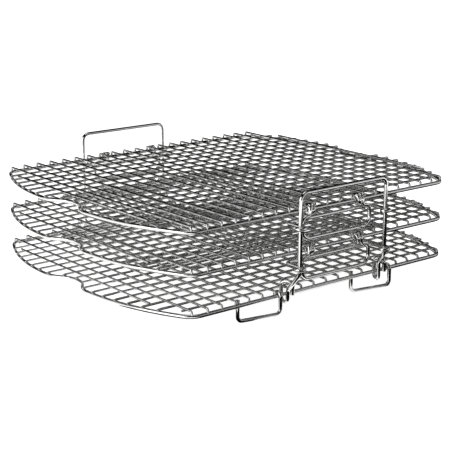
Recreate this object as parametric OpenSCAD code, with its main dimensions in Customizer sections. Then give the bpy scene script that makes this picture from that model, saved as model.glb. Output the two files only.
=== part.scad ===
// Three-tier cooling rack of welded and bent steel wire.
// X runs along the carrying frames, Y from front to rear, Z up.
// The origin is on the worktop, below the middle of the rack.

/* [Grid] */
// Spacing of the grid wires in both directions
pitch = 12; // [11.8:0.1:12.4]
// Thickness of the grid wires
grid_d = 1.8; // [1.4:0.1:2]
// How deep a weld sinks one wire into the other
weld = 0.15; // [0.05:0.05:0.2]
// Radius at which the long wires turn down to the rim
tip_r = 1.7; // [1.2:0.1:2]

/* [Rim] */
// Thickness of the rims, legs, frames, keepers and feet
wire_d = 3; // [2.8:0.1:3.1]
// From the middle of the rack to the front and rear runs of the rim
rim_y = 118.5; // [117:0.5:120]
// From the middle of the rack to the fullest point of a side
side_x = 144.8; // [142:0.2:148]
// Radius of the slow curve of a side
side_r = 180; // [160:5:220]
// Radius of the four corners
corner_r = 12; // [10:1:14]
// How far the finger notch in each side goes in
notch_in = 9.8; // [6:0.2:12]
// From the middle of the notch to its shoulder
notch_y = 28; // [24:1:32]

/* [Tiers] */
// Height of the bottom rim above the worktop
low_rim_z = 14; // [13:1:20]
// Height from one rim to the next
tier_rise = 29; // [28:1:34]

/* [Legs] */
// From the middle of a leg to its upright wires
leg_x = 33; // [32.6:0.1:33.2]
// How far a leg's crossbar hangs below its rim
leg_drop = 20; // [16:1:22]
// Radius of the lower corners of a leg
leg_r = 7; // [4:1:9]
// Radius of the upper corners of a leg
leg_top_r = 5; // [3:0.5:6]
// Play between the rim and the coils wound round it
coil_play = 0.1; // [0.05:0.01:0.2]

/* [Frames] */
// From the middle of a frame to its uprights
frame_x = 41; // [41:0.1:41.4]
// How far the uprights stand out beyond the rim
frame_out = 17.5; // [15:0.5:20]
// Height of the grip above the top rim
grip_rise = 18; // [14:1:30]
// Radius of the corners of the grip
grip_r = 5.5; // [4:0.5:10]
// How far a keeper lies below the rim that it carries
keeper_drop = 6.3; // [6.3:0.1:7.5]

/* [Feet] */
// Length of a foot along the rim
foot_l = 34; // [30:1:36]
// Radius of the lower corners of a foot
foot_r = 4; // [3:0.5:6]

/* [Hidden] */
$fn = 48;
TIERS = ["bottom", "middle", "top"];

// Grid wires on each side of the middle: long wires run front to rear
long_n = 10;
cross_n = 8;
// The crosswise wire that carries the ends of the outermost long wires
carry_n = 7;

// Heights above a rim's centre line
cross_z = (wire_d + grid_d) / 2 - weld;
long_z = cross_z + grid_d - weld;
tip_z = wire_d / 2 - 2 * weld;
// The long wires turn down just outside the rim's centre line
tip_out = 0.5;
// A wire's overhang beyond the last wire that it is welded to
overhang = 1.4;
// How far a crosswise wire is dressed down round the rim
wrap_angle = 40;
// Extra thickness of the ball or collar that joins two pieces of one wire
joint_swell = 0.1;
collar_l = 0.6;

// Centres of the arcs that make up one quarter of the rim
notch_r = (pow(notch_in, 2) + pow(notch_y, 2)) / (4 * notch_in);
notch_c = [side_x - notch_in + notch_r, 0];
shoulder_c = [side_x - notch_r, notch_y];
side_c = [side_x - side_r, notch_y];
corner_c = [
    side_c.x + sqrt(pow(side_r - corner_r, 2) - pow(rim_y - corner_r - notch_y, 2)),
    rim_y - corner_r
];
notch_turn = asin(notch_y / (2 * notch_r));
side_turn = atan2(corner_c.y - side_c.y, corner_c.x - side_c.x);

// Coils round a rim: their centre line, and the spacing of their turns
coil_r = wire_d + coil_play;
coil_step = 1.05 * wire_d;
// A leg's middle lies beside the rack's, so that both its coils miss the long wires
leg_shift = 6.4;
leg_coil_x = 2 * pitch;
// A leg's wire drops from its coil in front of the rim, before it runs out to its corner
leg_top = 4;
leg_top_bend = 2.2;

// Carrying frame, and the plan of its loose loops round the rim, left and right:
// from an upright to the loop's outer strand, to its inner strand and to its end
frame_y = rim_y + frame_out;
loop_outer = [[1, -4.1], [8.8, -4.1]];
loop_inner = [[1.6, 3.6], [12, 3.6]];
loop_end = [[5.8, -3.7], [15, -3.7]];
// Heights above the rim's centre line, and the radii of the bends
frame_bend_z = 19;
frame_bend_r = 5;
slant_low_z = [4, 9];
loop_bottom_z = -5.6;
loop_bottom_r = 3.3;
loop_top_z = 9;
loop_top_r = 3.3;
loop_end_z = -0.3;
keeper_y = rim_y + coil_r - wire_d - 0.3;
keeper_r = 3.5;
curl_r = wire_d - weld / 3;
curl_turn = 200;

// Feet: the outer upright's place along the rim, left and right
foot_left_x = -4 * pitch + 2.5;
foot_right_x = 5 * pitch + 2.5;
foot_y = wire_d - weld / 3;
foot_top = 3;

function rim_z(tier) = low_rim_z + tier * tier_rise;
function unit(v) = v / norm(v);

// Where the rim crosses a line parallel to X
function rim_x_at(y) =
    let (a = abs(y))
    a <= notch_y / 2 ? notch_c.x - sqrt(pow(notch_r, 2) - a * a) :
    a <= notch_y ? shoulder_c.x + sqrt(pow(notch_r, 2) - pow(notch_y - a, 2)) :
    side_c.x + sqrt(pow(side_r, 2) - pow(a - notch_y, 2));

// Where the rim crosses a line parallel to Y
function rim_y_at(x) =
    let (past = max(0, abs(x) - corner_c.x))
    corner_c.y + sqrt(pow(corner_r, 2) - past * past);

// ---- Wire bending ----

// A straight piece of wire from a to b
module rod(a, b, d) {
    v = b - a;
    translate(a)
        rotate([0, acos(v.z / norm(v)), atan2(v.y, v.x)])
            cylinder(h = norm(v), d = d);
}

// A ball that joins two pieces of one wire
module joint(at, d) {
    translate(at) sphere(d = d + joint_swell);
}

// A collar that joins two pieces of one wire that run on in one line
module collar(at, along, d) {
    half = unit(along) * collar_l / 2;
    rod(at - half, at + half, d + joint_swell);
}

// A bend in the XY plane
module arc(centre, r, from, turn, d) {
    translate([centre.x, centre.y, 0])
        rotate([0, 0, from])
            rotate_extrude(angle = turn)
                translate([r, 0])
                    circle(d = d);
}

// The length that a bend of radius r takes from each side of corner b
function cut(a, b, c, r) =
    r / tan(acos(unit(a - b) * unit(c - b)) / 2);

// One bend of a wire that turns at b on its way from a to c
module bend(a, b, c, r, d) {
    u = unit(a - b);
    v = unit(c - b);
    half = acos(u * v) / 2;
    centre = b + unit(u + v) * r / sin(half);
    p = b + u * r / tan(half) - centre;
    q = b + v * r / tan(half) - centre;
    ccw = p.x * q.y - p.y * q.x > 0;
    start = ccw ? p : q;
    arc(centre, r, atan2(start.y, start.x), 180 - 2 * half, d);
}

// A wire bent in the XY plane through points, with one radius per inner point
module flat_wire(points, radii, d, collars = false) {
    last = len(points) - 1;
    for (i = [0:last - 1]) {
        a = points[i];
        b = points[i + 1];
        u = unit(b - a);
        p = i == 0 ? a : a + u * cut(points[i - 1], a, b, radii[i - 1]);
        q = i == last - 1 ? b : b - u * cut(a, b, points[i + 2], radii[i]);
        rod([p.x, p.y, 0], [q.x, q.y, 0], d);
        if (collars && i > 0) collar([p.x, p.y, 0], [u.x, u.y, 0], d);
        if (collars && i < last - 1) collar([q.x, q.y, 0], [u.x, u.y, 0], d);
    }
    for (i = [1:last - 1])
        bend(points[i - 1], points[i], points[i + 1], radii[i - 1], d);
}

// A ring of wire round a rim, at x along it
module ring(x, r) {
    translate([x, 0, 0])
        rotate([0, 90, 0])
            rotate_extrude()
                translate([r, 0])
                    circle(d = wire_d);
}

// Draws its children at the front, or turned half round to the rear
module at_end(rear) {
    rotate([0, 0, rear ? 180 : 0]) children();
}

// ---- One tier ----

// A quarter of the rim, from the notch round to the front or rear run
module rim_quarter() {
    arc(shoulder_c, notch_r, -notch_turn, notch_turn, wire_d);
    arc(side_c, side_r, 0, side_turn, wire_d);
    arc(corner_c, corner_r, side_turn, 90 - side_turn, wire_d);
    notch_end = [side_x - notch_in / 2, notch_y / 2, 0];
    side_end = side_r * [cos(side_turn), sin(side_turn), 0] + [side_c.x, side_c.y, 0];
    collar(notch_end, [sin(notch_turn), cos(notch_turn), 0], wire_d);
    collar([side_x, notch_y, 0], [0, 1, 0], wire_d);
    collar(side_end, [-sin(side_turn), cos(side_turn), 0], wire_d);
    collar([corner_c.x, rim_y, 0], [1, 0, 0], wire_d);
}

module rim(tier) {
    color("silver")
        translate([0, 0, rim_z(tier)]) {
            for (turn = [0, 180])
                rotate([0, 0, turn]) {
                    arc(notch_c, notch_r, 180 - notch_turn, 2 * notch_turn, wire_d);
                    rod([-corner_c.x, rim_y, 0], [corner_c.x, rim_y, 0], wire_d);
                    for (side = [0, 1])
                        mirror([0, side, 0]) rim_quarter();
                }
        }
}

// The end of a long wire: it turns down and stands on the rim
module long_tip(reach) {
    start = reach + tip_out - tip_r;
    translate([0, start, long_z - tip_r])
        rotate([90, 0, 90])
            arc([0, 0], tip_r, 0, 90, grid_d);
    rod([0, start + tip_r, tip_z], [0, start + tip_r, long_z - tip_r], grid_d);
}

module long_wires(tier) {
    color("gainsboro")
        translate([0, 0, rim_z(tier)])
            for (k = [-long_n:long_n]) {
                x = k * pitch;
                reach = rim_y_at(x);
                straight = reach + tip_out - tip_r;
                translate([x, 0, 0]) {
                    rod([0, -straight, long_z], [0, straight, long_z], grid_d);
                    for (turn = [0, 180])
                        rotate([0, 0, turn]) long_tip(reach);
                }
            }
}

// The two outermost long wires stop short of the rim, on a crosswise wire
module side_wires(tier) {
    reach = carry_n * pitch + overhang;
    color("gainsboro")
        translate([0, 0, rim_z(tier)])
            for (side = [-1, 1]) {
                x = side * (long_n + 1) * pitch;
                rod([x, -reach, long_z], [x, reach, long_z], grid_d);
            }
}

// The end of a crosswise wire: it is dressed down round the outside of the rim
module cross_tip(reach) {
    joint([reach, 0, cross_z], grid_d);
    translate([reach, 0, 0])
        rotate([90, 0, 0])
            arc([0, 0], cross_z, 90 - wrap_angle, wrap_angle, grid_d);
}

module cross_wires(tier) {
    color("gainsboro")
        translate([0, 0, rim_z(tier)])
            for (n = [-cross_n:cross_n]) {
                y = n * pitch;
                reach = rim_x_at(y);
                rod([-reach, y, cross_z], [reach, y, cross_z], grid_d);
                for (turn = [0, 180])
                    translate([0, y, 0])
                        rotate([0, 0, turn]) cross_tip(reach);
            }
}

// The last crosswise wire at each end stops on the last full long wire
module corner_wires(tier) {
    reach = long_n * pitch + overhang;
    color("gainsboro")
        translate([0, 0, rim_z(tier)])
            for (side = [-1, 1]) {
                y = side * (cross_n + 1) * pitch;
                rod([-reach, y, cross_z], [reach, y, cross_z], grid_d);
            }
}

// ---- Folding legs ----

// A loop that hangs from two coils wound round the rim
module leg(tier, rear) {
    out = leg_coil_x + coil_step / 2;
    color("lightsteelblue")
        at_end(rear)
            translate([leg_shift, -rim_y, rim_z(tier)]) {
                translate([0, -coil_r, 0])
                    rotate([90, 0, 0])
                        flat_wire(
                            [[-out, 0], [-out, -leg_top], [-leg_x, -leg_top], [-leg_x, -leg_drop],
                             [leg_x, -leg_drop], [leg_x, -leg_top], [out, -leg_top], [out, 0]],
                            [leg_top_bend, leg_top_r, leg_r, leg_r, leg_top_r, leg_top_bend], wire_d);
                for (side = [-1, 1]) {
                    inner = side * (leg_coil_x - coil_step / 2);
                    joint([side * out, -coil_r, 0], wire_d);
                    ring(side * out, coil_r);
                    ring(inner, coil_r);
                    rod([inner, -coil_r, 0], [side * out, -coil_r, 0], wire_d);
                }
            }
}

// ---- Carrying frames ----

// One step of a frame's foot, bent in the upright plane through a and b
module step_over(a, b, heights, radii) {
    v = b - a;
    translate([a.x, a.y, 0])
        rotate([90, 0, atan2(v.y, v.x)])
            flat_wire(
                [[0, heights[0]], [0, heights[1]], [norm(v), heights[2]], [norm(v), heights[3]]],
                radii, wire_d, collars = true);
}

// The foot of an upright: it slants in to the rim, loops under it and over it
// and ends in front of it. Side is 0 for left and 1 for right.
module frame_foot(side, low) {
    upright = [0, -frame_out];
    outer = loop_outer[side];
    inner = loop_inner[side];
    step_over(upright, outer, [low, frame_bend_z, slant_low_z[side], 0], [frame_bend_r, frame_bend_r]);
    step_over(outer, inner, [0, loop_bottom_z, loop_bottom_z, 0], [loop_bottom_r, loop_bottom_r]);
    step_over(inner, loop_end[side], [0, loop_top_z, loop_top_z, loop_end_z], [loop_top_r, loop_top_r]);
    collar([upright.x, upright.y, low], [0, 0, 1], wire_d);
    for (strand = [outer, inner])
        collar([strand.x, strand.y, 0], [0, 0, 1], wire_d);
}

module frame(rear) {
    low = frame_bend_z + 4;
    grip = rim_z(2) + grip_rise;
    color("slategray")
        at_end(rear) {
            translate([0, -frame_y, 0])
                rotate([90, 0, 0])
                    flat_wire(
                        [[-frame_x, rim_z(0) + low], [-frame_x, grip],
                         [frame_x, grip], [frame_x, rim_z(0) + low]],
                        [grip_r, grip_r], wire_d);
            for (side = [0, 1])
                translate([(2 * side - 1) * frame_x, -rim_y, rim_z(0)]) frame_foot(side, low);
        }
}

// A staple that carries a tier's coils; its ends curl round the uprights
module keeper(tier, rear) {
    color("darkgray")
        at_end(rear)
            translate([0, 0, rim_z(tier) - keeper_drop]) {
                translate([curl_r, 0, 0])
                    flat_wire(
                        [[-frame_x, -frame_y], [-frame_x, -keeper_y],
                         [frame_x, -keeper_y], [frame_x, -frame_y]],
                        [keeper_r, keeper_r], wire_d);
                for (x = [-frame_x, frame_x]) {
                    joint([x + curl_r, -frame_y, 0], wire_d);
                    arc([x, -frame_y], curl_r, -curl_turn, curl_turn, wire_d);
                }
            }
}

// ---- Feet ----

// A clip that hooks over the rim outside, passes below it and ends inside
module foot(outer_x, rear) {
    inner_x = outer_x - foot_l;
    span = norm([foot_l, 2 * foot_y]);
    skew = atan2(2 * foot_y, -foot_l);
    color("dimgray")
        at_end(rear)
            translate([0, -rim_y, 0]) {
                translate([outer_x, -foot_y, 0])
                    rotate([0, 0, skew])
                        rotate([90, 0, 0])
                            flat_wire(
                                [[0, rim_z(0)], [0, wire_d / 2], [span, wire_d / 2],
                                 [span, rim_z(0) + foot_top]],
                                [foot_r, foot_r], wire_d);
                translate([outer_x, 0, rim_z(0)])
                    rotate([90, 0, 90])
                        arc([0, 0], foot_y, 0, 180, wire_d);
                joint([outer_x, -foot_y, rim_z(0)], wire_d);
            }
}

// ---- Assembly ----

for (tier = [0:2]) {
    name = TIERS[tier];
    rim(tier);
    long_wires(tier);
    side_wires(tier);
    cross_wires(tier);
    corner_wires(tier);
}
leg(1, false);  // middle_front_leg
leg(1, true);  // middle_rear_leg
leg(2, false);  // top_front_leg
leg(2, true);  // top_rear_leg
frame(false);  // front_frame
keeper(1, false);  // front_lower_keeper
keeper(2, false);  // front_upper_keeper
frame(true);  // rear_frame
keeper(1, true);  // rear_lower_keeper
keeper(2, true);  // rear_upper_keeper
foot(foot_left_x, false);  // front_left_foot
foot(foot_right_x, false);  // front_right_foot
foot(foot_right_x, true);  // rear_left_foot
foot(foot_left_x, true);  // rear_right_foot
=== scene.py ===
import math

import bmesh
import bpy
from mathutils import Matrix, Vector


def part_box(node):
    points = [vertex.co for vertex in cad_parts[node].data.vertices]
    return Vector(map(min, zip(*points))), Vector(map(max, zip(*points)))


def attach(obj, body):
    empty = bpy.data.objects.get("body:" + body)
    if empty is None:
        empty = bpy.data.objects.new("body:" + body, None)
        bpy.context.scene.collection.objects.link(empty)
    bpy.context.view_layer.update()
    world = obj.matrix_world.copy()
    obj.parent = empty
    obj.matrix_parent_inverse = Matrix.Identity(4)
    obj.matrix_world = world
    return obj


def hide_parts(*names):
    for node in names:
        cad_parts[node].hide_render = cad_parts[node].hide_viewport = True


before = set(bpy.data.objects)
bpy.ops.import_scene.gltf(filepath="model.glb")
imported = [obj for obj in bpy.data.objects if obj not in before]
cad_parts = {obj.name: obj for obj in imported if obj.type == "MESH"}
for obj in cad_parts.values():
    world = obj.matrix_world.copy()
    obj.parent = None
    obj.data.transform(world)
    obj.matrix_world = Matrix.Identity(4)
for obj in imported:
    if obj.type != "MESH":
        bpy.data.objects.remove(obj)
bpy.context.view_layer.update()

# ---- Rims ----
# Each tier's rim is one loop of 3 mm stainless wire, drawn bright, bent flat on a
# bending table and closed by a butt weld that is ground back to a faint swelling.

MM = 0.001
TIERS = ("bottom", "middle", "top")
RIM_BOX = {tier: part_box(tier + "_rim") for tier in TIERS}
RIM_Z = {tier: (low.z + high.z) / 2 for tier, (low, high) in RIM_BOX.items()}
HEAVY_WIRE = 3 * MM
RIM_Y = RIM_BOX["bottom"][1].y - HEAVY_WIRE / 2
SIDE_X = 144.8 * MM
SIDE_R = 180 * MM
CORNER_R = 12 * MM
NOTCH_IN = 9.8 * MM
NOTCH_Y = 28 * MM
NOTCH_R = (NOTCH_IN**2 + NOTCH_Y**2) / (4 * NOTCH_IN)
NOTCH_C = (SIDE_X - NOTCH_IN + NOTCH_R, 0)
SHOULDER_C = (SIDE_X - NOTCH_R, NOTCH_Y)
SIDE_C = (SIDE_X - SIDE_R, NOTCH_Y)
CORNER_Y = RIM_Y - CORNER_R
CORNER_C = (SIDE_C[0] + math.sqrt((SIDE_R - CORNER_R) ** 2 - (CORNER_Y - NOTCH_Y) ** 2), CORNER_Y)
STRAIGHT_STEP = 10 * MM
STRAIGHT_STEPS = 12
WIRE_SIDES = 20
BEND_STEP = math.radians(4)
CUT_EDGE = 0.16
CUT_ROUNDING = ((0.05, 0.7), (0.16, 1.0))
CUT_DOME = 1.25
BUTT_WELD = Vector((66 * MM, -118.5 * MM, 0))
BUTT_WELD_L = 1.6 * MM
BUTT_WELD_SWELL = 0.12 * MM
LINE_SCALE = 9000
BAND_SCALE = 1500
PATCH_SCALE = 90
LINE_STRETCH = 0.02
LINE_DEPTH = 0.5
GLOSS_CHANGE = 0.1
SHADE_CHANGE = 0.12
BUMP_STRENGTH = 0.4
BUMP_DEPTH = 0.006 * MM


def arc(centre, radius, start, turn, step=BEND_STEP):
    """Points round an arc in the XY plane, angles in radians."""
    count = max(2, math.ceil(abs(turn) / step))
    angles = [start + turn * i / count for i in range(count + 1)]
    return [Vector((centre[0] + radius * math.cos(a), centre[1] + radius * math.sin(a), 0)) for a in angles]


def without_repeats(points):
    """The same points, with those that lie on the one before left out."""
    kept = [points[0]]
    for point in points[1:]:
        if (point - kept[-1]).length > 0.01 * MM:
            kept.append(point)
    return kept


def rim_route():
    """The rim's middle line, once round."""
    notch_turn = math.asin(NOTCH_Y / (2 * NOTCH_R))
    side_turn = math.atan2(CORNER_C[1] - SIDE_C[1], CORNER_C[0] - SIDE_C[0])
    quarter = (
        arc(NOTCH_C, NOTCH_R, math.pi, -notch_turn)
        + arc(SHOULDER_C, NOTCH_R, -notch_turn, notch_turn)
        + arc(SIDE_C, SIDE_R, 0, side_turn, BEND_STEP / 4)
        + arc(CORNER_C, CORNER_R, side_turn, math.pi / 2 - side_turn, BEND_STEP * 1.5)
    )
    straight = [STRAIGHT_STEP * i for i in range(STRAIGHT_STEPS, 0, -1)]
    quarter += [Vector((x, RIM_Y, 0)) for x in straight if x < CORNER_C[0]]
    half = quarter + [Vector((-p.x, p.y, 0)) for p in reversed(quarter)]
    return without_repeats(half + [Vector((-p.x, -p.y, 0)) for p in half])[:-1]


def placed(points, x=0.0, y=0.0, z=0.0, half_turn=False):
    """A route moved into place, and turned half round where it belongs to the rear."""
    moved = [Vector((p.x + x, p.y + y, p.z + z)) for p in points]
    return [Vector((-p.x, -p.y, p.z)) for p in moved] if half_turn else moved


def add_ring(mesh, drawn, centre, along, across, radius, mark):
    """One ring of a wire's skin; each point keeps its place round and along the wire."""
    other = along.cross(across)
    ring = []
    for j in range(WIRE_SIDES):
        angle = 2 * math.pi * j / WIRE_SIDES
        out = (math.cos(angle) * radius, math.sin(angle) * radius)
        point = mesh.verts.new(centre + across * out[0] + other * out[1])
        point[drawn] = Vector((out[0], out[1], mark))
        ring.append(point)
    return ring


def add_skin(mesh, rings, turn=0):
    """The faces between each ring and the next; the last pair may be turned."""
    for i in range(len(rings) - 1):
        shift = turn if i == len(rings) - 2 else 0
        for j in range(WIRE_SIDES):
            k = (j + 1) % WIRE_SIDES
            near = (rings[i][j], rings[i][k])
            far = (rings[i + 1][(k + shift) % WIRE_SIDES], rings[i + 1][(j + shift) % WIRE_SIDES])
            mesh.faces.new((*near, *far)).smooth = True


def add_cut_end(mesh, drawn, ring, centre, along, radius, mark):
    """A sheared end: a small worn edge round a face that is hardly domed."""
    edge = CUT_EDGE * radius
    rings = [ring]
    for shrink, forward in CUT_ROUNDING:
        worn = []
        for point in ring:
            out = (point.co - centre) * (1 - shrink)
            worn.append(mesh.verts.new(centre + out + along * edge * forward))
            worn[-1][drawn] = Vector((point[drawn].x, point[drawn].y, mark))
        rings.append(worn)
    add_skin(mesh, rings)
    middle = mesh.verts.new(centre + along * edge * CUT_DOME)
    middle[drawn] = Vector((0, 0, mark))
    for j in range(WIRE_SIDES):
        mesh.faces.new((rings[-1][j], rings[-1][(j + 1) % WIRE_SIDES], middle))


def add_wire(mesh, drawn, route, thickness, closed, swell):
    """The skin of one wire: a circle swept along its route without twisting, capped if it is open."""
    count = len(route)
    steps = [(route[(i + 1) % count] - route[i]).normalized() for i in range(count)]
    if not closed:
        steps[-1] = steps[-2]
    along = [(steps[i - 1] + steps[i]).normalized() for i in range(count)]
    if not closed:
        along[0] = steps[0]
    across = along[0].orthogonal().normalized()
    rings = []
    mark = 0.0
    for i in range(count):
        if i:
            across = along[i - 1].rotation_difference(along[i]) @ across
            mark += (route[i] - route[i - 1]).length
        across = (across - along[i] * across.dot(along[i])).normalized()
        radius = thickness / 2 + (swell(route[i]) if swell else 0)
        rings.append(add_ring(mesh, drawn, route[i], along[i], across, radius, mark))
    if closed:
        gaps = [(point.co - rings[-1][0].co).length for point in rings[0]]
        add_skin(mesh, rings + [rings[0]], gaps.index(min(gaps)))
        return
    add_skin(mesh, rings)
    add_cut_end(mesh, drawn, rings[0], route[0], -along[0], thickness / 2, 0.0)
    add_cut_end(mesh, drawn, rings[-1], route[-1], along[-1], thickness / 2, mark)


def object_of(name, mesh, finish):
    """An object with this mesh and finish, put in the scene."""
    data = bpy.data.meshes.new(name)
    mesh.to_mesh(data)
    mesh.free()
    data.materials.append(finish)
    piece = bpy.data.objects.new(name, data)
    bpy.context.scene.collection.objects.link(piece)
    return piece


def wire_piece(name, routes, thickness, body, node, finish, closed=False, swell=None):
    """One piece of round wires, one along each route, which stands for a CAD node."""
    mesh = bmesh.new()
    drawn = mesh.verts.layers.float_vector.new("drawn")
    for route in routes:
        add_wire(mesh, drawn, route, thickness, closed, swell)
    bmesh.ops.recalc_face_normals(mesh, faces=mesh.faces)
    piece = object_of(name, mesh, finish)
    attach(piece, body)
    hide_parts(node)


def new_group(name, inputs, outputs):
    """An empty node group with named float inputs (with their values) and named outputs."""
    group = bpy.data.node_groups.new(name, "ShaderNodeTree")
    for label, value in inputs:
        socket = group.interface.new_socket(name=label, in_out="INPUT", socket_type="NodeSocketFloat")
        socket.default_value = value
    for label, kind in outputs:
        group.interface.new_socket(name=label, in_out="OUTPUT", socket_type=kind)
    return group, group.nodes.new("NodeGroupInput"), group.nodes.new("NodeGroupOutput")


def math_node(tree, operation, first, second=0.0, third=0.0):
    """A Math node, fed by numbers or by other nodes' outputs."""
    node = tree.nodes.new("ShaderNodeMath")
    node.operation = operation
    for socket, source in zip(node.inputs, (first, second, third)):
        if isinstance(source, (int, float)):
            socket.default_value = source
        else:
            tree.links.new(source, socket)
    return node.outputs[0]


def noise_node(tree, vector, scale, detail):
    """A Noise Texture's factor, from 0 to 1."""
    node = tree.nodes.new("ShaderNodeTexNoise")
    tree.links.new(vector, node.inputs["Vector"])
    node.inputs["Scale"].default_value = scale
    node.inputs["Detail"].default_value = detail
    return node.outputs["Fac"]


def drawn_finish():
    """The finish that a drawing die leaves: fine lines along the wire, and slow changes of gloss."""
    group, given, result = new_group(
        "drawn finish",
        (("Line Depth", LINE_DEPTH), ("Gloss Change", GLOSS_CHANGE), ("Base Roughness", 0.2)),
        (("Height", "NodeSocketFloat"), ("Roughness", "NodeSocketFloat"), ("Shade", "NodeSocketFloat")),
    )
    place = group.nodes.new("ShaderNodeAttribute")
    place.attribute_name = "drawn"
    stretched = group.nodes.new("ShaderNodeMapping")
    stretched.inputs["Scale"].default_value = (1, 1, LINE_STRETCH)
    group.links.new(place.outputs["Vector"], stretched.inputs["Vector"])
    lines = noise_node(group, stretched.outputs["Vector"], LINE_SCALE, 3)
    bands = noise_node(group, stretched.outputs["Vector"], BAND_SCALE, 2)
    shape = group.nodes.new("ShaderNodeTexCoord")
    patches = noise_node(group, shape.outputs["Object"], PATCH_SCALE, 4)
    height = math_node(group, "MULTIPLY", lines, given.outputs["Line Depth"])
    group.links.new(height, result.inputs["Height"])
    change = math_node(group, "MULTIPLY_ADD", bands, 0.5, math_node(group, "MULTIPLY", patches, 0.5))
    change = math_node(group, "SUBTRACT", change, 0.5)
    change = math_node(group, "MULTIPLY", change, given.outputs["Gloss Change"])
    roughness = math_node(group, "ADD", given.outputs["Base Roughness"], change)
    group.links.new(roughness, result.inputs["Roughness"])
    shade = math_node(group, "MULTIPLY_ADD", patches, SHADE_CHANGE, 1 - SHADE_CHANGE / 2)
    group.links.new(shade, result.inputs["Shade"])
    return group


def metal(name):
    """A new metal material, with its tree and its shader."""
    finish = bpy.data.materials.new(name)
    finish.use_nodes = True
    shader = finish.node_tree.nodes["Principled BSDF"]
    shader.inputs["Metallic"].default_value = 1
    return finish, finish.node_tree, shader


def mix_node(tree, first):
    """A Mix node for colours, which starts from the first one."""
    node = tree.nodes.new("ShaderNodeMix")
    node.data_type = "RGBA"
    node.inputs["A"].default_value = (*first, 1)
    return node


def steel(name, colour, roughness):
    """Bright stainless wire."""
    finish, tree, shader = metal(name)
    drawing = tree.nodes.new("ShaderNodeGroup")
    drawing.node_tree = DRAWN_FINISH
    drawing.inputs["Base Roughness"].default_value = roughness
    shade = mix_node(tree, (0, 0, 0))
    shade.inputs["B"].default_value = (*colour, 1)
    tree.links.new(drawing.outputs["Shade"], shade.inputs["Factor"])
    tree.links.new(shade.outputs["Result"], shader.inputs["Base Color"])
    tree.links.new(drawing.outputs["Roughness"], shader.inputs["Roughness"])
    bump = tree.nodes.new("ShaderNodeBump")
    bump.inputs["Strength"].default_value = BUMP_STRENGTH
    bump.inputs["Distance"].default_value = BUMP_DEPTH
    tree.links.new(drawing.outputs["Height"], bump.inputs["Height"])
    tree.links.new(bump.outputs["Normal"], shader.inputs["Normal"])
    return finish


def butt_weld_swell(point):
    """How far the ground weld still stands proud of the wire."""
    return BUTT_WELD_SWELL * math.exp(-((point - BUTT_WELD).xy.length / BUTT_WELD_L) ** 2)


DRAWN_FINISH = drawn_finish()
# Painted light and shade: the same stainless steel gets a different base colour on each part, set to the
# tone that part shows under this studio's light. The legs, frames and keepers are painted lightest.
RIM_STEEL = steel("bright rim wire", (0.68, 0.68, 0.675), 0.16)
for tier in TIERS:
    wire_piece(
        tier + "_rim_loop", [placed(rim_route(), z=RIM_Z[tier])], HEAVY_WIRE,
        tier + "_tier", tier + "_rim", RIM_STEEL, closed=True, swell=butt_weld_swell,
    )

# ---- Crosswise wires ----
# Seventeen 1.8 mm wires lie on each rim from side to side. They are spot welded to it
# by electrical resistance, and their sheared ends are dressed down round its outside.

PITCH = 12 * MM
MESH_WIRE = 1.8 * MM
WELD = 0.15 * MM
CROSS_N = 8
CROSS_Z = (HEAVY_WIRE + MESH_WIRE) / 2 - WELD
WRAP = math.radians(40)
WRAP_STEPS = 6


def rim_x_at(y):
    """Where the rim crosses a line parallel to X."""
    a = abs(y)
    if a <= NOTCH_Y / 2:
        return NOTCH_C[0] - math.sqrt(NOTCH_R**2 - a * a)
    if a <= NOTCH_Y:
        return SHOULDER_C[0] + math.sqrt(NOTCH_R**2 - (NOTCH_Y - a) ** 2)
    return SIDE_C[0] + math.sqrt(SIDE_R**2 - (a - NOTCH_Y) ** 2)


def cross_route(y):
    """A wire from side to side, with both ends dressed down."""
    reach = rim_x_at(y)
    down = [WRAP * i / WRAP_STEPS for i in range(WRAP_STEPS + 1)]
    right = [Vector((reach + CROSS_Z * math.sin(a), y, CROSS_Z * math.cos(a))) for a in down]
    left = [Vector((-p.x, p.y, p.z)) for p in reversed(right)]
    return left + right


MESH_STEEL = steel("bright mesh wire", (0.6, 0.6, 0.595), 0.15)
for tier in TIERS:
    routes = [placed(cross_route(n * PITCH), z=RIM_Z[tier]) for n in range(-CROSS_N, CROSS_N + 1)]
    wire_piece(
        tier + "_crosswise_wires", routes, MESH_WIRE,
        tier + "_tier", tier + "_cross_wires", MESH_STEEL,
    )

# ---- Corner wires ----
# The last wire at the front and rear of a tier would meet the rim in its corners, so it
# is cut short and welded under the outermost long wires.

LONG_N = 10
OVERHANG = 1.4 * MM
corner_reach = LONG_N * PITCH + OVERHANG
corner_wire = [Vector((-corner_reach, 0, 0)), Vector((corner_reach, 0, 0))]
for tier in TIERS:
    routes = [
        placed(corner_wire, y=end * (CROSS_N + 1) * PITCH, z=RIM_Z[tier] + CROSS_Z)
        for end in (-1, 1)
    ]
    wire_piece(
        tier + "_short_crosswise_wires", routes, MESH_WIRE,
        tier + "_tier", tier + "_corner_wires", MESH_STEEL,
    )

# ---- Long wires ----
# Twenty-one wires run from front to rear over the crosswise ones and are what food rests
# on. Each end is turned down in the press and its cut face is welded onto the rim.

LONG_Z = CROSS_Z + MESH_WIRE - WELD
TIP_R = 1.7 * MM
TIP_STEPS = 8
TIP_OUT = 0.5 * MM
TIP_Z = HEAVY_WIRE / 2 - 2 * WELD


def rim_y_at(x):
    """Where the rim crosses a line parallel to Y."""
    past = max(0.0, abs(x) - CORNER_C[0])
    return CORNER_Y + math.sqrt(CORNER_R**2 - past**2)


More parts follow.
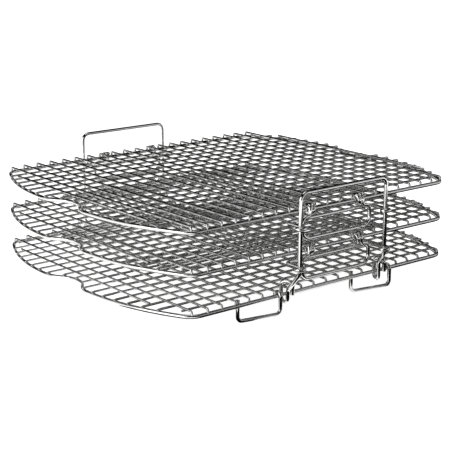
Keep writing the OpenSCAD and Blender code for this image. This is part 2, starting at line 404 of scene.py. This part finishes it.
def long_route(x):
    """A wire from front to rear, with both ends turned down onto the rim."""
    straight = rim_y_at(x) + TIP_OUT - TIP_R
    bend_z = LONG_Z - TIP_R
    turn = [math.pi / 2 * i / TIP_STEPS for i in range(TIP_STEPS + 1)]
    rear = [Vector((x, straight + TIP_R * math.sin(a), bend_z + TIP_R * math.cos(a))) for a in turn]
    rear.append(Vector((x, straight + TIP_R, TIP_Z)))
    front = [Vector((x, -p.y, p.z)) for p in reversed(rear)]
    return front + rear


for tier in TIERS:
    routes = [placed(long_route(k * PITCH), z=RIM_Z[tier]) for k in range(-LONG_N, LONG_N + 1)]
    wire_piece(
        tier + "_lengthwise_wires", routes, MESH_WIRE,
        tier + "_tier", tier + "_long_wires", MESH_STEEL,
    )

# ---- Side wires ----
# One more long wire at each side runs past the finger notch. It stops short of the
# rounded corners of the rim, just beyond the crosswise wires that carry its ends.

CARRY_N = 7
side_reach = CARRY_N * PITCH + OVERHANG
side_wire = [Vector((0, -side_reach, 0)), Vector((0, side_reach, 0))]
for tier in TIERS:
    routes = [
        placed(side_wire, x=side * (LONG_N + 1) * PITCH, z=RIM_Z[tier] + LONG_Z)
        for side in (-1, 1)
    ]
    wire_piece(
        tier + "_short_lengthwise_wires", routes, MESH_WIRE,
        tier + "_tier", tier + "_side_wires", MESH_STEEL,
    )

# ---- Mesh welds ----
# Every crossing of the mesh is spot welded, and so is every wire end on the rim. The metal
# squeezed out between the wires sets as a small bead, tinted straw to blue by the heat.

BEAD_SUBDIVISIONS = 1
SPOT_BEAD = (0.62 * MM, 0.62 * MM, 0.2 * MM)
RIM_BEAD = (0.7 * MM, 0.7 * MM, 0.22 * MM)
TIP_BEAD = (1.15 * MM, 1.0 * MM, 0.3 * MM)
TIP_BEAD_UP = 0.05 * MM
TINT_SCALE = 700
STRAW = (0.6, 0.52, 0.38)
BLUE = (0.36, 0.4, 0.5)
CLEAN_WELD = (0.62, 0.62, 0.61)
WELD_ROUGHNESS = 0.24
TINT_ROUGHNESS = 0.3


def weld_piece(name, beads, body, finish):
    """Beads of metal as one piece; a bead is its middle and its half sizes along X, Y and Z."""
    mesh = bmesh.new()
    for middle, half in beads:
        matrix = Matrix.Translation(middle) @ Matrix.Diagonal((*half, 1))
        bmesh.ops.create_icosphere(mesh, subdivisions=BEAD_SUBDIVISIONS, radius=1, matrix=matrix)
    for face in mesh.faces:
        face.smooth = True
    piece = object_of(name, mesh, finish)
    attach(piece, body)


def heat_tint():
    """The thin oxide that a weld leaves: straw where it was warm, blue where it was hot."""
    group, given, result = new_group(
        "heat tint",
        (("Amount", 0.5),),
        (("Colour", "NodeSocketColor"), ("Mask", "NodeSocketFloat")),
    )
    shape = group.nodes.new("ShaderNodeTexCoord")
    patches = noise_node(group, shape.outputs["Object"], TINT_SCALE, 2)
    ramp = group.nodes.new("ShaderNodeValToRGB")
    for stop, position, colour in zip(ramp.color_ramp.elements, (0.35, 0.68), (STRAW, BLUE)):
        stop.position = position
        stop.color = (*colour, 1)
    group.links.new(patches, ramp.inputs["Fac"])
    group.links.new(ramp.outputs["Color"], result.inputs["Colour"])
    mask = math_node(group, "MULTIPLY", patches, given.outputs["Amount"])
    group.links.new(mask, result.inputs["Mask"])
    return group


def weld_steel(name, tint_amount):
    """Steel that has melted and set again, brushed clean but for a little tint."""
    finish, tree, shader = metal(name)
    tint = tree.nodes.new("ShaderNodeGroup")
    tint.node_tree = HEAT_TINT
    tint.inputs["Amount"].default_value = tint_amount
    tinted = mix_node(tree, CLEAN_WELD)
    tree.links.new(tint.outputs["Mask"], tinted.inputs["Factor"])
    tree.links.new(tint.outputs["Colour"], tinted.inputs["B"])
    tree.links.new(tinted.outputs["Result"], shader.inputs["Base Color"])
    roughness = math_node(tree, "MULTIPLY_ADD", tint.outputs["Mask"], TINT_ROUGHNESS, WELD_ROUGHNESS)
    tree.links.new(roughness, shader.inputs["Roughness"])
    return finish


def mesh_beads(tier):
    """The beads between the wires of one tier, and on its rim."""
    between = RIM_Z[tier] + (CROSS_Z + LONG_Z) / 2
    on_rim = RIM_Z[tier] + HEAVY_WIRE / 2 - WELD / 2
    at_tip = RIM_Z[tier] + TIP_Z + TIP_BEAD_UP
    long_x = [k * PITCH for k in range(-LONG_N, LONG_N + 1)]
    beads = []
    for n in range(-CROSS_N, CROSS_N + 1):
        y = n * PITCH
        beads += [(Vector((x, y, between)), SPOT_BEAD) for x in long_x]
        for side in (-1, 1):
            if abs(n) <= CARRY_N:
                beads.append((Vector((side * (LONG_N + 1) * PITCH, y, between)), SPOT_BEAD))
            beads.append((Vector((side * rim_x_at(y), y, on_rim)), RIM_BEAD))
    for end in (-1, 1):
        beads += [(Vector((x, end * (rim_y_at(x) + TIP_OUT), at_tip)), TIP_BEAD) for x in long_x]
        beads += [(Vector((x, end * (CROSS_N + 1) * PITCH, between)), SPOT_BEAD) for x in long_x]
    return beads


HEAT_TINT = heat_tint()
MESH_WELD = weld_steel("spot welds", 0.5)
for tier in TIERS:
    weld_piece(tier + "_mesh_welds", mesh_beads(tier), tier + "_tier", MESH_WELD)

# ---- Folding legs ----
# A leg is a loop of 3 mm wire. Both ends are wound on a mandrel into coils that sit
# loosely on the rim, so that the leg can turn; the windings lead away from the loop.

LEG_X = 33 * MM
LEG_SHIFT = 6.4 * MM
LEG_COIL_X = 2 * PITCH
LEG_DROP = 20 * MM
LEG_R = 7 * MM
LEG_TOP = 4 * MM
LEG_TOP_R = 5 * MM
LEG_TOP_BEND = 2.2 * MM
COIL_R = HEAVY_WIRE + 0.1 * MM
COIL_PITCH = 1.05 * HEAVY_WIRE
LEG_TURNS = 1.3
COIL_STEP = math.radians(12)


def bent(points, radii):
    """A wire's middle line through these points, rounded at each inner one by its radius."""
    route = [points[0]]
    for before, corner, after, radius in zip(points, points[1:], points[2:], radii):
        u = (before - corner).normalized()
        v = (after - corner).normalized()
        half = u.angle(v) / 2
        centre = corner + (u + v).normalized() * radius / math.sin(half)
        start = corner + u * radius / math.tan(half) - centre
        end = corner + v * radius / math.tan(half) - centre
        count = max(3, math.ceil(start.angle(end) / (BEND_STEP * 2)))
        axis = start.cross(end)
        for i in range(count + 1):
            turn = Matrix.Rotation(start.angle(end) * i / count, 3, axis)
            route.append(centre + turn @ start)
    return without_repeats(route + [points[-1]])


def coil(x, x_turn, start, turn):
    """A winding round a rim that lies along X, from angle start; it moves by x_turn each turn."""
    count = math.ceil(abs(turn) / COIL_STEP)
    points = []
    for i in range(count + 1):
        angle = start + turn * i / count
        wound = abs(turn) * i / count / (2 * math.pi)
        points.append(Vector((x + x_turn * wound, COIL_R * math.cos(angle), COIL_R * math.sin(angle))))
    return points


def leg_route():
    """The whole leg, from the end of one coil to the end of the other, hanging down."""
    right = coil(LEG_COIL_X + COIL_PITCH / 2, -COIL_PITCH, math.pi, -2 * math.pi * LEG_TURNS)
    left = [Vector((-p.x, p.y, p.z)) for p in reversed(right)]
    corners = [(right[0].x, LEG_TOP), (LEG_X, LEG_TOP), (LEG_X, LEG_DROP)]
    corners = [(-x, drop) for x, drop in corners] + corners[::-1]
    loop = bent(
        [left[-1]] + [Vector((x, -COIL_R, -drop)) for x, drop in corners] + [right[0]],
        [LEG_TOP_BEND, LEG_TOP_R, LEG_R, LEG_R, LEG_TOP_R, LEG_TOP_BEND],
    )
    return without_repeats(left + loop + right)


# Painted light: the leg wire's base colour of 0.86 is lighter than stainless steel is, and paints in the
# brightness that the legs show.
LEG_STEEL_PAINTED_LIGHTER = steel("leg wire painted lighter", (0.86, 0.86, 0.855), 0.13)
for tier in ("middle", "top"):
    for end in ("front", "rear"):
        route = placed(leg_route(), x=LEG_SHIFT, y=-RIM_Y, z=RIM_Z[tier], half_turn=end == "rear")
        name = f"{tier}_{end}_leg"
        wire_piece(name + "_loop", [route], HEAVY_WIRE, name + "_body", name, LEG_STEEL_PAINTED_LIGHTER)

# ---- Carrying frames ----
# A frame is one bent wire. Each upright leans in at its foot, loops loosely under and
# over the bottom rim, and ends in front of it, so the frame can swing out and stays on.
# The loops' corners are in mm from the upright sideways, and from the rim's middle line.

FRAME_X = 41 * MM
FRAME_OUT = 17.5 * MM
GRIP_RISE = 18 * MM
GRIP_R = 5.5 * MM
FOOT_BENDS = [5 * MM, 5 * MM, 3.3 * MM, 3.3 * MM, 3.3 * MM, 3.3 * MM]
LEFT_LOOP = (
    (0, -17.5, 19), (1, -4.1, 4), (1, -4.1, -5.6), (1.6, 3.6, -5.6),
    (1.6, 3.6, 9), (5.8, -3.7, 9), (5.8, -3.7, -0.3),
)
RIGHT_LOOP = (
    (0, -17.5, 19), (8.8, -4.1, 9), (8.8, -4.1, -5.6), (12, 3.6, -5.6),
    (12, 3.6, 9), (15, -3.7, 9), (15, -3.7, -0.3),
)


def frame_route(grip_z):
    """The whole frame, from the end of one loop to the other's, from the bottom rim's height up."""
    left = [Vector((x * MM - FRAME_X, y * MM - RIM_Y, z * MM)) for x, y, z in LEFT_LOOP]
    right = [Vector((x * MM + FRAME_X, y * MM - RIM_Y, z * MM)) for x, y, z in RIGHT_LOOP]
    out_y = -RIM_Y - FRAME_OUT
    grip = [Vector((-FRAME_X, out_y, grip_z)), Vector((FRAME_X, out_y, grip_z))]
    return bent(left[::-1] + grip + right, FOOT_BENDS[::-1] + [GRIP_R, GRIP_R] + FOOT_BENDS)


# Painted light: the frame and keeper wire's base colour of 0.86 is lighter than stainless steel is, and
# paints in the brightness that these wires show.
FRAME_STEEL_PAINTED_LIGHTER = steel("frame wire painted lighter", (0.86, 0.86, 0.855), 0.12)
grip_z = RIM_Z["top"] + GRIP_RISE - RIM_Z["bottom"]
for end in ("front", "rear"):
    route = placed(frame_route(grip_z), z=RIM_Z["bottom"], half_turn=end == "rear")
    wire_piece(
        end + "_frame_wire", [route], HEAVY_WIRE,
        end + "_frame_body", end + "_frame", FRAME_STEEL_PAINTED_LIGHTER,
    )

# ---- Keepers ----
# A keeper is a staple of the same wire. Its ends are curled round the uprights and
# welded there, and its bar passes under the coils of the tier that it carries.

KEEPER_DROP = 6.3 * MM
KEEPER_Y = -118.3 * MM
KEEPER_R = 3.5 * MM
CURL_R = HEAVY_WIRE - WELD / 3
CURL_TURN = math.radians(200)
KEEPER_BEAD = (0.5 * MM, 1.3 * MM, 0.5 * MM)
BEAD_ASIDE = 1.1 * MM


def keeper_route():
    """From the end of one curl along the bar to the end of the other."""
    out_y = -RIM_Y - FRAME_OUT
    right = arc((FRAME_X, out_y), CURL_R, 0, -CURL_TURN, COIL_STEP)
    left = [Vector((p.x - 2 * FRAME_X, p.y, 0)) for p in reversed(right)]
    bar = bent(
        [
            left[-1], Vector((left[-1].x, KEEPER_Y, 0)),
            Vector((right[0].x, KEEPER_Y, 0)), right[0],
        ],
        [KEEPER_R, KEEPER_R],
    )
    return without_repeats(left + bar + right)


for end in ("front", "rear"):
    for place, tier in (("lower", "middle"), ("upper", "top")):
        route = placed(keeper_route(), z=RIM_Z[tier] - KEEPER_DROP, half_turn=end == "rear")
        name = f"{end}_{place}_keeper"
        body = end + "_frame_body"
        wire_piece(name + "_staple", [route], HEAVY_WIRE, body, name, FRAME_STEEL_PAINTED_LIGHTER)

STAPLE_WELD = weld_steel("keeper welds", 0.7)
for end, turn in (("front", 1), ("rear", -1)):
    beads = []
    for tier in ("middle", "top"):
        for side in (-1, 1):
            middle = Vector((turn * side * (FRAME_X - HEAVY_WIRE / 2), -turn * (RIM_Y + FRAME_OUT), 0))
            middle.z = RIM_Z[tier] - KEEPER_DROP
            for up in (-1, 1):
                beads.append((middle + Vector((0, 0, up * BEAD_ASIDE)), KEEPER_BEAD))
    weld_piece(end + "_keeper_welds", beads, end + "_frame_body", STAPLE_WELD)

# ---- Feet ----
# A foot is a clip of the same wire. It hooks over the bottom rim from outside, runs
# aslant below it and comes up inside, and it is welded where it touches the rim.

FOOT_L = 34 * MM
FOOT_R = 4 * MM
FOOT_LEFT = -45.5 * MM
FOOT_RIGHT = 62.5 * MM
FOOT_TOP = 3 * MM
FOOT_Y = HEAVY_WIRE - WELD / 3
HOOK_STEPS = 14
FOOT_BEAD = (0.5 * MM, 0.5 * MM, 1.2 * MM)


def foot_route(outer_x):
    """From the end of the hook over the rim to the end of the inner upright."""
    rim_z = RIM_Z["bottom"]
    hook = [
        Vector((outer_x, -RIM_Y + FOOT_Y * math.cos(a), rim_z + FOOT_Y * math.sin(a)))
        for a in (math.pi * i / HOOK_STEPS for i in range(HOOK_STEPS + 1))
    ]
    ground = HEAVY_WIRE / 2
    inner_x = outer_x - FOOT_L
    clip = bent(
        [
            hook[-1], Vector((outer_x, -RIM_Y - FOOT_Y, ground)),
            Vector((inner_x, -RIM_Y + FOOT_Y, ground)),
            Vector((inner_x, -RIM_Y + FOOT_Y, rim_z + FOOT_TOP)),
        ],
        [FOOT_R, FOOT_R],
    )
    return without_repeats(hook + clip)


FOOT_STEEL = steel("bright foot wire", (0.66, 0.66, 0.655), 0.14)
for name, outer_x, rear in (
    ("front_left_foot", FOOT_LEFT, False), ("front_right_foot", FOOT_RIGHT, False),
    ("rear_left_foot", FOOT_RIGHT, True), ("rear_right_foot", FOOT_LEFT, True),
):
    route = placed(foot_route(outer_x), half_turn=rear)
    wire_piece(name + "_clip", [route], HEAVY_WIRE, "bottom_tier", name, FOOT_STEEL)

FOOT_WELD = weld_steel("foot welds", 0.7)
beads = []
for outer_x, turn in ((FOOT_LEFT, 1), (FOOT_RIGHT, 1), (FOOT_LEFT, -1), (FOOT_RIGHT, -1)):
    for x, inward in ((outer_x, -1), (outer_x - FOOT_L, 1)):
        middle = Vector((turn * x, turn * (inward * HEAVY_WIRE / 2 - RIM_Y), RIM_Z["bottom"]))
        for side in (-1, 1):
            beads.append((middle + Vector((side * BEAD_ASIDE, 0, 0)), FOOT_BEAD))
weld_piece("foot_welds", beads, "bottom_tier", FOOT_WELD)

# ---- Table and room ----
# The rack stands on a wide sheet of white paper in a white room. Both are white to the
# camera and, between the cloths, to a bright wire. The rack's shadow falls on the paper,
# but the paper is so bright that it renders white there too.

FLOOR_HALF = 4.0
PAPER_WHITE = 0.75
ROOM_LIGHT = 0.5


def stage_piece(name, mesh, finish):
    """A part of the studio, which doesn't belong to the rack."""
    piece = object_of(name, mesh, finish)
    return piece


def emptied(finish):
    """A material's or world's tree, with nothing in it yet."""
    finish.use_nodes = True
    finish.node_tree.nodes.clear()
    return finish.node_tree


def seen_directly(tree):
    """1 where a camera, glossy or transmission ray looks, 0 where a diffuse one does."""
    rays = tree.nodes.new("ShaderNodeLightPath")
    either = math_node(tree, "MAXIMUM", rays.outputs["Is Camera Ray"], rays.outputs["Is Glossy Ray"])
    return math_node(tree, "MAXIMUM", either, rays.outputs["Is Transmission Ray"])


paper = bpy.data.materials.new("white paper")
tree = emptied(paper)
matt = tree.nodes.new("ShaderNodeBsdfDiffuse")
matt.inputs["Color"].default_value = (0.9, 0.9, 0.9, 1)
white = tree.nodes.new("ShaderNodeEmission")
tree.links.new(math_node(tree, "MULTIPLY", seen_directly(tree), PAPER_WHITE), white.inputs["Strength"])
both = tree.nodes.new("ShaderNodeAddShader")
tree.links.new(matt.outputs[0], both.inputs[0])
tree.links.new(white.outputs[0], both.inputs[1])
tree.links.new(both.outputs[0], tree.nodes.new("ShaderNodeOutputMaterial").inputs["Surface"])
sheet = bmesh.new()
bmesh.ops.create_grid(sheet, x_segments=1, y_segments=1, size=FLOOR_HALF)
stage_piece("paper", sheet, paper)

room = bpy.data.worlds.new("white room")
bpy.context.scene.world = room
tree = emptied(room)
background = tree.nodes.new("ShaderNodeBackground")
background.inputs["Color"].default_value = (1, 1, 1, 1)
strength = math_node(tree, "MULTIPLY_ADD", seen_directly(tree), 1 - ROOM_LIGHT, ROOM_LIGHT)
tree.links.new(strength, background.inputs["Strength"])
tree.links.new(background.outputs[0], tree.nodes.new("ShaderNodeOutputWorld").inputs["Surface"])

# ---- Cloths ----
# Bright wire only looks round if something dark is mirrored at its edges, so black cloths
# and grey scrims hang round the table and lie on it. Only the wires' reflections show them:
# the camera sees bare paper there, also below the rack, and they throw no shadow. The
# near-black sheet below the rack is painted shade: it stands for the rack's shadow on the paper.

WALL_R = 1.6
SCRIM_Z = 0.65
SOFT_BOX_TOP_Z = 0.75
WALL_Z = 1.3
SKYLIGHT_R = 0.5
LAID_Z = 0.6 * MM
UNDER_RACK_R = 0.114
LAID_IN_R = 0.137
LAID_OUT_R = 0.45
LAID_NARROW_R = 0.18
CLOTH_STEP = 5


def cloth(name, shade):
    """A cloth that looks this light from every side; 0 is black."""
    finish = bpy.data.materials.new(name)
    tree = emptied(finish)
    glow = tree.nodes.new("ShaderNodeEmission")
    glow.inputs["Strength"].default_value = shade
    tree.links.new(glow.outputs[0], tree.nodes.new("ShaderNodeOutputMaterial").inputs["Surface"])
    return finish


def on_circle(degrees, radius, z):
    """A point round the rack; 0 degrees is to the rear, 90 to the right."""
    turn = math.radians(degrees)
    return (radius * math.sin(turn), radius * math.cos(turn), z)


def hang_cloths(name, shade, stretches):
    """Cloths round the rack: each runs between two bearings and two circles (radius, z)."""
    mesh = bmesh.new()
    for start, end, inner, outer in stretches:
        for i in range(start, end, CLOTH_STEP):
            corners = ((i, inner), (i + CLOTH_STEP, inner), (i + CLOTH_STEP, outer), (i, outer))
            mesh.faces.new([mesh.verts.new(on_circle(bearing, *circle)) for bearing, circle in corners])
    piece = stage_piece(name, mesh, cloth(name, shade))
    piece.visible_camera = False
    piece.visible_diffuse = False
    piece.visible_shadow = False


hang_cloths("black cloths", 0.004, [
    (-40, 100, (WALL_R, 0), (WALL_R, WALL_Z)),
    (-70, -40, (WALL_R, SOFT_BOX_TOP_Z), (WALL_R, WALL_Z)),
    (170, 235, (WALL_R, 0), (WALL_R, WALL_Z)),
    (-180, 180, (SKYLIGHT_R, WALL_Z), (WALL_R, WALL_Z)),
    (60, 215, (LAID_IN_R, LAID_Z), (LAID_OUT_R, LAID_Z)),
    (215, 250, (LAID_IN_R, LAID_Z), (LAID_NARROW_R, LAID_Z)),
])
# Painted shade: a near-black sheet under the rack, seen only in the wires' reflections, stands for the
# rack's shadow on the paper.
hang_cloths("painted shade under the rack", 0.02, [(45, 265, (0, LAID_Z), (UNDER_RACK_R, LAID_Z))])
hang_cloths("upper scrim", 0.35, [(100, 170, (WALL_R, SCRIM_Z), (WALL_R, WALL_Z))])
hang_cloths("right scrim", 0.65, [(100, 145, (WALL_R, 0), (WALL_R, SCRIM_Z))])
hang_cloths("front scrim", 0.3, [(145, 170, (WALL_R, 0), (WALL_R, SCRIM_Z))])

# ---- Lamps ----
# A soft box stands to the left of the table. A larger one hangs over the rack, and the
# wires don't mirror it.

RACK_MIDDLE = Vector((0, 0, 0.04))

def soft_lamp(name, degrees, distance, height, size, radiance, mirrored=True):
    """A square soft box aimed at the rack, as bright as its radiance to a mirror."""
    lamp = bpy.data.lights.new(name, "AREA")
    lamp.shape = "SQUARE"
    lamp.size = size
    lamp.energy = radiance * math.pi * size**2
    holder = bpy.data.objects.new(name, lamp)
    holder.location = on_circle(degrees, distance, height)
    holder.rotation_mode = "QUATERNION"
    holder.rotation_quaternion = (RACK_MIDDLE - holder.location).to_track_quat("-Z", "Y")
    holder.visible_glossy = mirrored
    holder.visible_camera = False
    bpy.context.scene.collection.objects.link(holder)


soft_lamp("left soft box", -90, 1.4, 0.45, 0.9, 2.0)
soft_lamp("overhead soft box", -60, 0.4, 1.3, 1.0, 1.5, mirrored=False)

# ---- Camera ----
# It stands to the left and in front of the rack, a little above the grips, and looks
# down on it by 15 degrees.

CAMERA_PLACE = (-0.6072, -0.7586, 0.2917)
CAMERA_TURN = math.radians(38.78)
CAMERA_FALL = math.radians(14.9)
FOCAL_LENGTH_IN_PICTURES = 1277 / 450
SENSOR_WIDTH = 36
camera = bpy.data.cameras.new("camera")
camera.lens = FOCAL_LENGTH_IN_PICTURES * SENSOR_WIDTH
camera.sensor_width = SENSOR_WIDTH
camera.clip_start = 0.01
view = bpy.data.objects.new("camera", camera)
view.location = CAMERA_PLACE
view.rotation_mode = "QUATERNION"
looking = Vector((
    math.sin(CAMERA_TURN) * math.cos(CAMERA_FALL),
    math.cos(CAMERA_TURN) * math.cos(CAMERA_FALL),
    -math.sin(CAMERA_FALL),
))
view.rotation_quaternion = looking.to_track_quat("-Z", "Y")
bpy.context.scene.collection.objects.link(view)
bpy.context.scene.camera = view
bpy.context.scene.view_settings.view_transform = "Standard"
